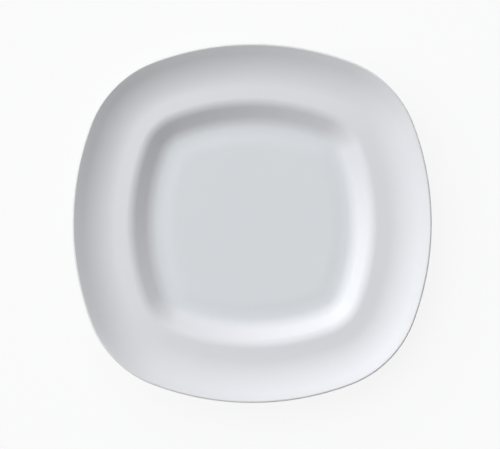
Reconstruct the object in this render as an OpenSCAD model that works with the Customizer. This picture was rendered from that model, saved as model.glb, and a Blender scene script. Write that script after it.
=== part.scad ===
/* [Outline] */
// Width of the finished plate, straight across from side to side
plate_w = 260; // [210:1:320]
// Radius of each of the four bowed sides
side_r = 203; // [185:1:300]
// Radius of each of the four round corners
corner_r = 78; // [72:1:95]

/* [Rim] */
// Fall of the rim just inside the lip, in degrees
rim_slope = 30; // [20:0.5:36]
// Radius of the two edges of the lip
lip_edge_r = 1; // [0.8:0.1:1.4]
// Length of the straight band between the lip and the rim's hollow, on the underside
rim_band = 5.4; // [2:0.1:10]
// Radius of the rim's hollow
rim_hollow_r = 43; // [30:1:55]
// Rise of the shelf towards the well, in degrees
shelf_slope = 3; // [1:0.5:6]
// Length of the shelf between the rim's hollow and the shoulder
shelf_len = 7.8; // [3:0.1:12]

/* [Well] */
// Radius of the shoulder that turns down into the well
shoulder_r = 12; // [9:0.5:18]
// Slope of the well's wall, in degrees
wall_slope = 34.5; // [25:0.5:42]
// Length of the wall's straight stretch
wall_len = 7.5; // [2:0.5:12]
// Radius of the cove between the wall and the floor
cove_r = 14.5; // [10:0.5:20]
// Height of the floor's middle above its edge
crown_rise = 0.6; // [0.2:0.1:1.2]

/* [Thickness] */
// Thickness of the finished plate, with its glaze
plate_t = 3.8; // [3:0.1:5]
// Thickness of the glaze
glaze_t = 0.3; // [0.2:0.05:0.5]

/* [Foot ring] */
// Height of the recess inside the foot ring
foot_h = 3; // [2.6:0.1:5]
// Width of the flat face that the plate stands on
foot_face_w = 2.6; // [1.5:0.1:4]
// Slope of the foot ring's two flanks, in degrees
foot_slope = 75; // [65:1:85]
// Radius of the two edges beside the standing face
foot_edge_r = 1.1; // [0.8:0.1:1.5]
// Radius of the fillets at the foot ring's root
foot_fillet_r = 1.5; // [1:0.1:2]
// Slope of the wall's underside where the foot ring leaves it, in degrees
foot_leave_slope = 18; // [10:0.5:24]

/* [Hidden] */
$fn = 180;
// Most that a flat of the profile leaves its true arc
arc_sag = 0.015;
// Corner radius that is left where the swept profile ends on the floor
sweep_end_r = 1;
// Level stretch at that end, on which the sweep and the well's middle overlap
floor_lap = 2;
// Turn by which a sector is drawn too long at each end, before its seams are cut
seam_spare = 5;
quarter_turn = 90;

// The outline is four side arcs and four corner arcs, each tangent to the next.
// Two arcs that meet have their centres and their meeting point on one line, which is the seam.
// At the sizes above, that line's two legs and its length are 117, 44 and 125, whole numbers.
side_offset = side_r - plate_w / 2;
centre_gap = side_r - corner_r;
corner_offset = (sqrt(2 * pow(centre_gap, 2) - pow(side_offset, 2)) - side_offset) / 2;
side_turn = atan2(corner_offset, corner_offset + side_offset);

// A station on the profile is [distance in from the outline, height, heading].
// A heading of 0 runs inwards and level, and it grows as the path turns upwards.
// A step is [turn, radius] for an arc, or [0, length] for a straight.
function arc_stations(start, turn, radius) =
    let (side = sign(turn),
         centre_u = start[0] - side * radius * sin(start[2]),
         centre_z = start[1] + side * radius * cos(start[2]),
         flats = ceil(abs(turn) / (2 * acos(1 - arc_sag / radius))))
    [for (i = [1 : flats])
        let (heading = start[2] + turn * i / flats)
        [centre_u + side * radius * sin(heading), centre_z - side * radius * cos(heading), heading]];

function straight_station(start, length) =
    [[start[0] + length * cos(start[2]), start[1] + length * sin(start[2]), start[2]]];

function last(list) = list[len(list) - 1];

function reversed(list) = [for (i = [len(list) - 1 : -1 : 0]) list[i]];

// The stations after the start, from one step to the next
function walk(start, steps, i = 0) =
    i == len(steps) ? [] :
    let (step = steps[i],
         found = step[0] == 0 ? straight_station(start, step[1]) : arc_stations(start, step[0], step[1]))
    concat(found, walk(last(found), steps, i + 1));

// The same stations with the way that the surface faces in place of the heading
function facing(path, turn) = [for (s = path) [s[0], s[1], s[2] + turn]];

// Points of a path for a sector's radius, taken a depth below the finished surface
function points_at(path, depth) =
    [for (s = path) [depth * cos(s[2]) - s[0], s[1] - depth * sin(s[2])]];

// The lip ends in an upright flat between its two edges.
// From the flat's lower end, up, over the rim and down to the toe of the cove:
lip_flat = (plate_t - 2 * lip_edge_r) / cos(rim_slope);
rim_to_toe = walk([0, 0, quarter_turn], [
    [0, lip_flat],
    [-quarter_turn - rim_slope, lip_edge_r],
    [0, rim_band + lip_flat * sin(rim_slope)],
    [rim_slope, rim_hollow_r],
    [shelf_slope, rim_hollow_r],
    [0, shelf_len],
    [-shelf_slope, shoulder_r],
    [-wall_slope, shoulder_r],
    [0, wall_len],
    [wall_slope, cove_r]
]);
toe = last(rim_to_toe);

// The floor rises from the toe in one arc and levels out in another, its mirror image
sweep_end_u = corner_r - sweep_end_r;
crown_run = sweep_end_u - floor_lap - toe[0];
crown_turn = 2 * atan(crown_rise / crown_run);
crown_r = crown_run / (2 * sin(crown_turn));
crown = walk(toe, [[crown_turn, crown_r], [-crown_turn, crown_r], [0, floor_lap]]);

// Heights are counted from the face that the plate stands on
floor_edge_z = foot_h + plate_t;
floor_z = floor_edge_z + crown_rise;
lip_z = floor_edge_z - toe[1];
lip = [0, lip_z, quarter_turn];
top = facing([for (s = concat(rim_to_toe, crown)) [s[0], s[1] + lip_z, s[2]]], quarter_turn);

// The underside follows the top at the plate's thickness, down to the foot ring's root
to_root = walk([0, lip_z, -quarter_turn], [
    [quarter_turn - rim_slope, lip_edge_r],
    [0, rim_band],
    [rim_slope, rim_hollow_r + plate_t],
    [shelf_slope, rim_hollow_r + plate_t],
    [0, shelf_len],
    [-shelf_slope, shoulder_r - plate_t],
    [-wall_slope, shoulder_r - plate_t],
    [0, wall_len],
    [wall_slope - foot_leave_slope, cove_r + plate_t],
    [foot_leave_slope - foot_slope, foot_fillet_r]
]);

// The clay stands on the table, so a glaze on that face would lie below it by its own thickness
edge_fall = foot_edge_r * (1 - cos(foot_slope));
fillet_fall = foot_fillet_r * (1 - cos(foot_slope));
outer_flank = (last(to_root)[1] + glaze_t - edge_fall) / sin(foot_slope);
inner_flank = (foot_h + glaze_t - edge_fall - fillet_fall) / sin(foot_slope);
to_foot = concat(to_root, walk(last(to_root), [[0, outer_flank]]));
foot_tip = walk(last(to_foot), [[foot_slope, foot_edge_r], [0, foot_face_w], [foot_slope, foot_edge_r]]);
to_middle = concat(walk(last(foot_tip), [[0, inner_flank], [-foot_slope, foot_fillet_r]]),
    [[sweep_end_u, foot_h, 0]]);

// The two glazed surfaces, and the body's whole surface, which has the bare foot between them
upper_surface = concat(reversed(top), facing([lip], quarter_turn), facing(to_foot, -quarter_turn));
recess_surface = facing(concat([last(foot_tip)], to_middle), -quarter_turn);
body_surface = concat(upper_surface, facing(concat(foot_tip, to_middle), -quarter_turn));

// One stretch of a profile, turned about its own arc's centre and cut off at its two seams
module sector(centre, radius, first, turn) {
    wedge_side = plate_w;
    translate(centre) intersection() {
        rotate_extrude(angle = turn + 2 * seam_spare, start = first - seam_spare)
            translate([radius, 0]) children();
        translate([0, 0, -floor_z]) linear_extrude(lip_z + 2 * floor_z)
            polygon([[0, 0],
                     wedge_side * [cos(first), sin(first)],
                     wedge_side * [cos(first + turn), sin(first + turn)]]);
    }
}

// A profile swept right round the outline, sides and corners in turn
module swept_round() {
    for (quarter = [0 : 3]) rotate(quarter * quarter_turn) {
        sector([-side_offset, 0], side_r, -side_turn, 2 * side_turn) children();
        sector([corner_offset, corner_offset], corner_r, side_turn, quarter_turn - 2 * side_turn) children();
    }
}

// The level middle of the well, inside the sweep, between two heights
module middle(low, high) {
    translate([0, 0, low]) linear_extrude(high - low)
        intersection_for (quarter = [0 : 3])
            rotate(quarter * quarter_turn) translate([-side_offset, 0])
                circle(side_r - sweep_end_u + floor_lap / 2);
}

// A coat of glaze over one surface
module coat(surface) {
    swept_round() polygon(concat(points_at(surface, 0), reversed(points_at(surface, glaze_t))));
}

// The pressed and fired clay, with its well, rim, lip and foot ring in one piece
module porcelain_body() {
    color("linen") {
        swept_round() polygon(points_at(body_surface, glaze_t));
        middle(foot_h + glaze_t, floor_z - glaze_t);
    }
}

// The glaze over the floor, the rim, the lip and the underside as far as the foot ring
module upper_glaze() {
    color("whitesmoke") {
        coat(upper_surface);
        middle(floor_z - glaze_t, floor_z);
    }
}

// The glaze in the recess, which the bare foot ring parts from the rest
module recess_glaze() {
    color("whitesmoke") {
        coat(recess_surface);
        middle(foot_h, foot_h + glaze_t);
    }
}

porcelain_body();
upper_glaze();
recess_glaze();
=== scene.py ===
import math

import bmesh
import bpy
from mathutils import Matrix, Vector


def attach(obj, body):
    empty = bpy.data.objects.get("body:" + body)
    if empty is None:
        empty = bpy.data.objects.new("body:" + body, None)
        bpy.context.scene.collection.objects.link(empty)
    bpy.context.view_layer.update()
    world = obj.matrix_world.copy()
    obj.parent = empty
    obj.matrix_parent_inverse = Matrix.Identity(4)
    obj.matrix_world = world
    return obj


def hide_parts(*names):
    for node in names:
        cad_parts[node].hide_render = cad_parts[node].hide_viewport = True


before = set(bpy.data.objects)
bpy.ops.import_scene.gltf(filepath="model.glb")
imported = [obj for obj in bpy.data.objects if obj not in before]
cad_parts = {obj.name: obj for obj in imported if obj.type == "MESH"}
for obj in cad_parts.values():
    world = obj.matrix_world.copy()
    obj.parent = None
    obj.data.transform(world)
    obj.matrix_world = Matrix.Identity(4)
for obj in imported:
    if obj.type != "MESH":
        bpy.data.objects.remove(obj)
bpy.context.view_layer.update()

# The body: one piece of white porcelain clay, with its well, rim, lip and foot ring. It is pressed
# between a mould and a profile tool, then fired hard. All of it is glazed but the face that it
# stands on, which is wiped clean so that the plate doesn't stick to the kiln's shelf.
quarter_turn = math.radians(90)

# The outline is four side arcs and four corner arcs, each tangent to the next. A side's centre lies
# side_reach beyond the plate's middle, and a corner's lies corner_reach from it along both axes.
half_width = 0.130
side_radius = 0.203
corner_radius = 0.078
side_reach = side_radius - half_width
radii_apart = side_radius - corner_radius
corner_reach = (math.sqrt(2 * radii_apart**2 - side_reach**2) - side_reach) / 2
side_turn = math.atan2(corner_reach, corner_reach + side_reach)

plate_thickness = 0.0038
glaze_thickness = 0.0003
rim_slope = math.radians(30)
shelf_slope = math.radians(3)
wall_slope = math.radians(34.5)
lip_edge_radius = 0.001
lip_flat = (plate_thickness - 2 * lip_edge_radius) / math.cos(rim_slope)
rim_band = 0.0054
rim_hollow_radius = 0.043
shelf_length = 0.0078
shoulder_radius = 0.012
wall_length = 0.0075
cove_radius = 0.0145

# Each step of a profile is (turn, radius) for an arc or (0, length) for a straight. Both profiles
# start at the lower end of the lip's upright flat, which lies between its two rounded edges.
lip_to_toe = [
    (0, lip_flat),
    (-quarter_turn - rim_slope, lip_edge_radius),
    (0, rim_band + lip_flat * math.sin(rim_slope)),
    (rim_slope + shelf_slope, rim_hollow_radius),
    (0, shelf_length),
    (-shelf_slope - wall_slope, shoulder_radius),
    (0, wall_length),
    (wall_slope, cove_radius),
]

foot_height = 0.003
foot_face = 0.0026
foot_slope = math.radians(75)
foot_edge_radius = 0.0011
foot_fillet_radius = 0.0015
foot_leave_slope = math.radians(18)
lip_to_root = [
    (quarter_turn - rim_slope, lip_edge_radius),
    (0, rim_band),
    (rim_slope + shelf_slope, rim_hollow_radius + plate_thickness),
    (0, shelf_length),
    (-shelf_slope - wall_slope, shoulder_radius - plate_thickness),
    (0, wall_length),
    (wall_slope - foot_leave_slope, cove_radius + plate_thickness),
    (foot_leave_slope - foot_slope, foot_fillet_radius),
]


def travel(heading, steps):
    """How far in and how far up a profile goes from its start."""
    inwards = upwards = 0
    for turn, size in steps:
        if turn:
            side = math.copysign(size, turn)
            inwards += side * (math.sin(heading + turn) - math.sin(heading))
            upwards += side * (math.cos(heading) - math.cos(heading + turn))
            heading += turn
        else:
            inwards += size * math.cos(heading)
            upwards += size * math.sin(heading)
    return inwards, upwards


# The floor of the well rises a little from its edge, and is level from this far in from the outline
crown_rise = 0.0006
level_from = 0.075
level_lap = 0.002
toe_in, toe_rise = travel(quarter_turn, lip_to_toe)
crown_run = level_from - toe_in
crown_turn = 2 * math.atan(crown_rise / crown_run)
crown_radius = crown_run / (2 * math.sin(crown_turn))
lip_height = foot_height + plate_thickness - toe_rise
upper_profile = [
    *lip_to_toe,
    (crown_turn, crown_radius),
    (-crown_turn, crown_radius),
    (0, level_lap),
]

# The glaze stops on the foot ring's two flanks, where they meet the rounded edges of its face
edge_fall = foot_edge_radius * (1 - math.cos(foot_slope))
fillet_fall = foot_fillet_radius * (1 - math.cos(foot_slope))
root_height = lip_height + travel(-quarter_turn, lip_to_root)[1]
outer_flank = (root_height + glaze_thickness - edge_fall) / math.sin(foot_slope)
inner_flank = (foot_height + glaze_thickness - edge_fall - fillet_fall) / math.sin(foot_slope)
lower_profile = [*lip_to_root, (0, outer_flank)]
foot_profile = [(foot_slope, foot_edge_radius), (0, foot_face), (foot_slope, foot_edge_radius)]
flank_profile = [(0, inner_flank), (-foot_slope, foot_fillet_radius)]
flank_in = travel(-quarter_turn, [*lower_profile, *foot_profile, *flank_profile])[0]
recess_profile = [*flank_profile, (0, level_from + level_lap - flank_in)]


def raised(steps, rise):
    """The same profile moved square to itself, upwards where the rise is above zero."""
    return [(turn, size - math.copysign(rise, turn * rise) if turn else size) for turn, size in steps]


def draw(bm, start, heading, steps):
    """Draws a profile on from a vertex, step by step, and returns its last vertex."""
    arc_sag = 0.000004
    here = start
    for turn, size in steps:
        if turn:
            to_centre = Vector((math.sin(heading), 0, math.cos(heading))) * math.copysign(size, turn)
            drawn = bmesh.ops.spin(
                bm,
                geom=[here],
                cent=here.co + to_centre,
                axis=(0, 1, 0),
                angle=turn,
                steps=math.ceil(abs(turn) / (2 * math.acos(1 - arc_sag / size))),
            )
            here = drawn["geom_last"][0]
            heading += turn
        else:
            here = bmesh.ops.extrude_vert_indiv(bm, verts=[here])["verts"][0]
            here.co += Vector((-math.cos(heading), 0, math.sin(heading))) * size
    return here


def sweep(bm):
    """Takes a profile right round the outline, through the arcs of its sides and corners in turn."""
    side_cuts = 16
    corner_cuts = 24
    arcs = [
        (Vector((-side_reach, 0, 0)), side_turn, side_cuts),
        (Vector((corner_reach, corner_reach, 0)), quarter_turn - 2 * side_turn, corner_cuts),
        (Vector((0, -side_reach, 0)), side_turn, side_cuts),
    ]
    profile = [*bm.verts, *bm.edges]
    for quarter in range(4):
        turned = Matrix.Rotation(quarter * quarter_turn, 3, "Z")
        for centre, turn, cuts in arcs:
            swept = bmesh.ops.spin(
                bm, geom=profile, cent=turned @ centre, axis=(0, 0, 1), angle=turn, steps=cuts
            )
            profile = swept["geom_last"]


def fired(bm, name, finish):
    """Closes the swept mesh across its level middle and makes a piece of it, in its finish."""
    merge_distance = 0.000002
    sharp_angle = math.radians(50)
    bmesh.ops.remove_doubles(bm, verts=bm.verts, dist=merge_distance)
    bmesh.ops.holes_fill(bm, edges=[edge for edge in bm.edges if edge.is_boundary], sides=0)
    bmesh.ops.recalc_face_normals(bm, faces=bm.faces)
    mesh = bpy.data.meshes.new(name)
    bm.to_mesh(mesh)
    bm.free()
    mesh.shade_smooth()
    mesh.set_sharp_from_angle(angle=sharp_angle)
    mesh.materials.append(finish)
    piece = bpy.data.objects.new(name, mesh)
    bpy.context.scene.collection.objects.link(piece)
    return piece


class Socket:
    """A node's output, or a node tree's empty start, on which sums and further nodes are built."""

    def __init__(self, tree, output=None):
        self.tree = tree
        self.output = output

    def node(self, kind, settings=None, inputs=None, output=0):
        """Adds a node with its settings first, then the values or links of its sockets."""
        made = self.tree.nodes.new(kind)
        for name, setting in (settings or {}).items():
            setattr(made, name, setting)
        for name, value in (inputs or {}).items():
            if isinstance(value, Socket):
                self.tree.links.new(value.output, made.inputs[name])
            else:
                made.inputs[name].default_value = value
        return Socket(self.tree, made.outputs[output] if made.outputs else None)

    def math(self, operation, *values):
        return self.node("ShaderNodeMath", {"operation": operation}, dict(enumerate(values)))

    def __add__(self, other):
        return self.math("ADD", self, other)

    def __sub__(self, other):
        return self.math("SUBTRACT", self, other)

    def __rsub__(self, other):
        return self.math("SUBTRACT", other, self)

    def __mul__(self, other):
        return self.math("MULTIPLY", self, other)

    __radd__ = __add__
    __rmul__ = __mul__

    def place(self):
        """Where a point of the piece lies, in metres from the middle of the plate's foot."""
        return self.node("ShaderNodeTexCoord", output="Object")

    def height(self):
        """How high a point of the piece lies above what the plate stands on."""
        return self.node("ShaderNodeSeparateXYZ", inputs={"Vector": self.place()}, output="Z")

    def ramp(self, low, high):
        """Rises smoothly from 0 at the low value to 1 at the high one."""
        return self.node(
            "ShaderNodeMapRange",
            {"interpolation_type": "SMOOTHSTEP"},
            {"Value": self, "From Min": low, "From Max": high},
        )

    def noise(self, scale, detail=2.0):
        """Clouds on the piece's own coordinates, so many to a metre, with a mean of about a half."""
        return self.node(
            "ShaderNodeTexNoise", inputs={"Vector": self.place(), "Scale": scale, "Detail": detail}
        )

    def mix(self, factor, first, second):
        """The first colour where the factor is 0, and the second where it is 1."""
        return self.node(
            "ShaderNodeMix",
            {"data_type": "RGBA"},
            {"Factor": factor, "A": first, "B": second},
            output="Result",
        )


def new_finish(name):
    """A new material, and the start of its empty node tree."""
    finish = bpy.data.materials.new(name)
    finish.use_nodes = True
    finish.node_tree.nodes.clear()
    return finish, Socket(finish.node_tree)


# Bare clay is cream to white in soft clouds. It is grained, and darker and smoother in the spots
# where its lowest part has been rubbed.
clay_cream = (0.74, 0.725, 0.69, 1)
clay_white = (0.80, 0.79, 0.765, 1)
rubbed_grey = (0.50, 0.485, 0.46, 1)
rubbed_share = 0.55
clay_roughness = 0.72
grain_roughness = 0.16
rubbed_smoothness = 0.18
grain_depth = 0.00004
grain_strength = 0.6
clay, start = new_finish("bare_porcelain")
grain = start.noise(scale=3200, detail=3.0)
low_down = 1 - start.height().ramp(low=0.0001, high=0.0004)
rub = start.noise(scale=190, detail=4.0).ramp(low=0.50, high=0.66) * low_down
fired_clay = start.mix(start.noise(scale=70, detail=3.0), clay_cream, clay_white)
tooth = start.node(
    "ShaderNodeBump",
    inputs={"Strength": grain_strength, "Distance": grain_depth, "Height": grain},
)
bare = start.node(
    "ShaderNodeBsdfPrincipled",
    inputs={
        "Base Color": start.mix(rub * rubbed_share, fired_clay, rubbed_grey),
        "Roughness": clay_roughness + grain_roughness * grain - rubbed_smoothness * rub,
        "Normal": tooth,
    },
)
start.node("ShaderNodeOutputMaterial", inputs={"Surface": bare})

body = bmesh.new()
lip = body.verts.new((half_width - glaze_thickness, 0, lip_height))
draw(body, lip, quarter_turn, raised(upper_profile, -glaze_thickness))
draw(body, lip, -quarter_turn, raised([*lower_profile, *foot_profile, *recess_profile], glaze_thickness))
sweep(body)
fired_body = fired(body, "fired_body", clay)
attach(fired_body, "root")
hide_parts("porcelain_body")

# The glaze over the well, the rim, the lip and the back as far as the foot ring: clear glass about
# 0.3 mm thick, which the plate is dipped in and which melts to a smooth skin. It runs thin over
# the lip and lies a little thicker in the well, most of all where the wall meets the floor.
milk_blue = (0.790, 0.795, 0.826, 1)
milk_white = (0.812, 0.815, 0.843, 1)
lip_cream = (0.795, 0.790, 0.775, 1)
lip_share = 0.5
pool_green = (0.745, 0.785, 0.800, 1)
pool_share = 0.35
glaze_roughness = 0.28
glaze_roughness_spread = 0.06
swell_depth = 0.00004
peel_share = 0.012
glaze, start = new_finish("glaze")
milky = start.mix(start.noise(scale=22), milk_blue, milk_white)
thin = start.height().ramp(low=0.0232, high=0.0243)
lipped = start.mix(thin * lip_share, milky, lip_cream)
pool_low = start.height().ramp(low=0.0060, high=0.0067)
pool_high = 1 - start.height().ramp(low=0.0069, high=0.0084)
pooled = start.mix(pool_low * pool_high * pool_share, lipped, pool_green)
swell = start.noise(scale=46, detail=1.0)
peel = start.noise(scale=620, detail=1.0)
skin = start.node(
    "ShaderNodeBump",
    inputs={"Strength": 1.0, "Distance": swell_depth, "Height": swell + peel_share * peel},
)
glazed = start.node(
    "ShaderNodeBsdfPrincipled",
    inputs={
        "Base Color": pooled,
        "Roughness": glaze_roughness + glaze_roughness_spread * start.noise(scale=40),
        "Normal": skin,
    },
)
start.node("ShaderNodeOutputMaterial", inputs={"Surface": glazed})

coat = bmesh.new()
lip = coat.verts.new((half_width, 0, lip_height))
draw(coat, lip, quarter_turn, upper_profile)
outer_end = draw(coat, lip, -quarter_turn, lower_profile)
lip = coat.verts.new((half_width - glaze_thickness, 0, lip_height))
draw(coat, lip, quarter_turn, raised(upper_profile, -glaze_thickness))
inner_end = draw(coat, lip, -quarter_turn, raised(lower_profile, glaze_thickness))
coat.edges.new((outer_end, inner_end))
sweep(coat)
upper_coat = fired(coat, "upper_coat", glaze)
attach(upper_coat, "root")
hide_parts("upper_glaze")

# The glaze in the recess under the well: the same glass, which the bare foot ring parts from the
# rest. It starts on the foot ring's inner flank and covers the whole recess.
start_in, start_rise = travel(-quarter_turn, [*lower_profile, *foot_profile])
coat = bmesh.new()
outer_start = coat.verts.new((half_width - start_in, 0, lip_height + start_rise))
across = Vector((math.sin(foot_slope), 0, math.cos(foot_slope))) * glaze_thickness
inner_start = coat.verts.new(outer_start.co + across)
coat.edges.new((outer_start, inner_start))
draw(coat, outer_start, foot_slope, recess_profile)
draw(coat, inner_start, foot_slope, raised(recess_profile, glaze_thickness))
sweep(coat)
recess_coat = fired(coat, "recess_coat", glaze)
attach(recess_coat, "root")
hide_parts("recess_glaze")

# The white sheet under the plate. It is lit and shaded as paper, but what looks at it, the camera or
# a reflection, sees it near white by itself, with the plate's shadow drawn on it a little darker.
# It lies a hair below the foot, so that the two faces don't coincide.
sheet_half_width = 6
sheet_drop = 0.0001
paper_grey = (0.84, 0.84, 0.84, 1)
paper_white = (0.86, 0.86, 0.86, 1)
shadow_grey = (0.09, 0.09, 0.092, 1)
white = (1, 1, 1, 1)
glow_strength = 0.885
sheet = bmesh.new()
bmesh.ops.create_grid(sheet, x_segments=1, y_segments=1, size=sheet_half_width)
bmesh.ops.translate(sheet, verts=sheet.verts, vec=(0, 0, -sheet_drop))
floor_mesh = bpy.data.meshes.new("floor")
sheet.to_mesh(floor_mesh)
sheet.free()
floor = bpy.data.objects.new("floor", floor_mesh)
bpy.context.scene.collection.objects.link(floor)


def looked_at(start):
    """Is 1 for what the camera sees, straight or in gloss or glass, and 0 for light that falls."""
    camera_ray, glossy_ray, transmission_ray = [
        start.node("ShaderNodeLightPath", output=name)
        for name in ("Is Camera Ray", "Is Glossy Ray", "Is Transmission Ray")
    ]
    return start.math("MAXIMUM", start.math("MAXIMUM", camera_ray, glossy_ray), transmission_ray)


paper, start = new_finish("white_sheet")
fibres = start.mix(start.noise(scale=9), paper_grey, paper_white)
plain = start.node("ShaderNodeBsdfDiffuse", inputs={"Color": fibres})
shadow = start.node("ShaderNodeBsdfDiffuse", inputs={"Color": shadow_grey})
glow = start.node("ShaderNodeEmission", inputs={"Color": white, "Strength": glow_strength})
seen = start.node("ShaderNodeAddShader", inputs={0: shadow, 1: glow})
sheet_mix = start.node("ShaderNodeMixShader", inputs={0: looked_at(start), 1: plain, 2: seen})
start.node("ShaderNodeOutputMaterial", inputs={"Surface": sheet_mix})
floor.data.materials.append(paper)

# The studio's light: white all round to what looks at it, and a faint warm light from all round to
# what it falls on. A wide soft lamp hangs at the upper left, with a low strip of light below it.
even_colour = (1.15, 1.0, 0.82, 1)
even_strength = 0.04
world = bpy.data.worlds.new("studio")
bpy.context.scene.world = world
world.use_nodes = True
world.node_tree.nodes.clear()
start = Socket(world.node_tree)
even = start.node("ShaderNodeBackground", inputs={"Color": even_colour, "Strength": even_strength})
backdrop = start.node("ShaderNodeBackground", inputs={"Color": white, "Strength": 1.0})
sky = start.node("ShaderNodeMixShader", inputs={0: looked_at(start), 1: even, 2: backdrop})
start.node("ShaderNodeOutputWorld", inputs={"Surface": sky})

lamp_colour = (0.98, 1.0, 1.015)
lamp_distance = 10.0
lamp_bearing = math.radians(137)


def hang_lamp(name, length, width, power, height):
    """Hangs a wide lamp on the lamps' bearing, at a height in degrees, facing the plate."""
    light = bpy.data.lights.new(name, "AREA")
    light.shape = "RECTANGLE"
    light.size = length
    light.size_y = width
    light.energy = power
    light.color = lamp_colour
    lamp = bpy.data.objects.new(name, light)
    raised_by = Matrix.Rotation(-math.radians(height), 3, "Y")
    towards_lamp = Matrix.Rotation(lamp_bearing, 3, "Z") @ raised_by @ Vector((1, 0, 0))
    lamp.rotation_euler = towards_lamp.to_track_quat("Z", "Y").to_euler()
    lamp.location = towards_lamp * lamp_distance
    bpy.context.scene.collection.objects.link(lamp)
    return lamp


# The main lamp lights the plate but stays out of its gloss, and the strip shows in its gloss alone
main_lamp = hang_lamp("main_lamp", length=24.0, width=13.0, power=2170, height=47)
main_lamp.visible_glossy = False
strip_lamp = hang_lamp("strip_lamp", length=18.0, width=3.0, power=375, height=17)
strip_lamp.visible_diffuse = False

# The camera looks straight down, as the photograph does. A pixel has its size where the lip is, and
# the plate's middle lies a few pixels right of the picture's middle and above it.
camera_distance = 3.0
pixel = 0.000724
image_width = 500
plate_right = 2.0
plate_up = 1.3
sensor_width = 36
camera_reach = 50
camera_data = bpy.data.cameras.new("camera")
camera_data.sensor_width = sensor_width
camera_data.lens = sensor_width * camera_distance / (pixel * image_width)
camera_data.clip_end = camera_reach
camera = bpy.data.objects.new("camera", camera_data)
camera.location = (-plate_right * pixel, -plate_up * pixel, lip_height + camera_distance)
bpy.context.scene.collection.objects.link(camera)
bpy.context.scene.camera = camera
bpy.context.scene.view_settings.view_transform = "Standard"
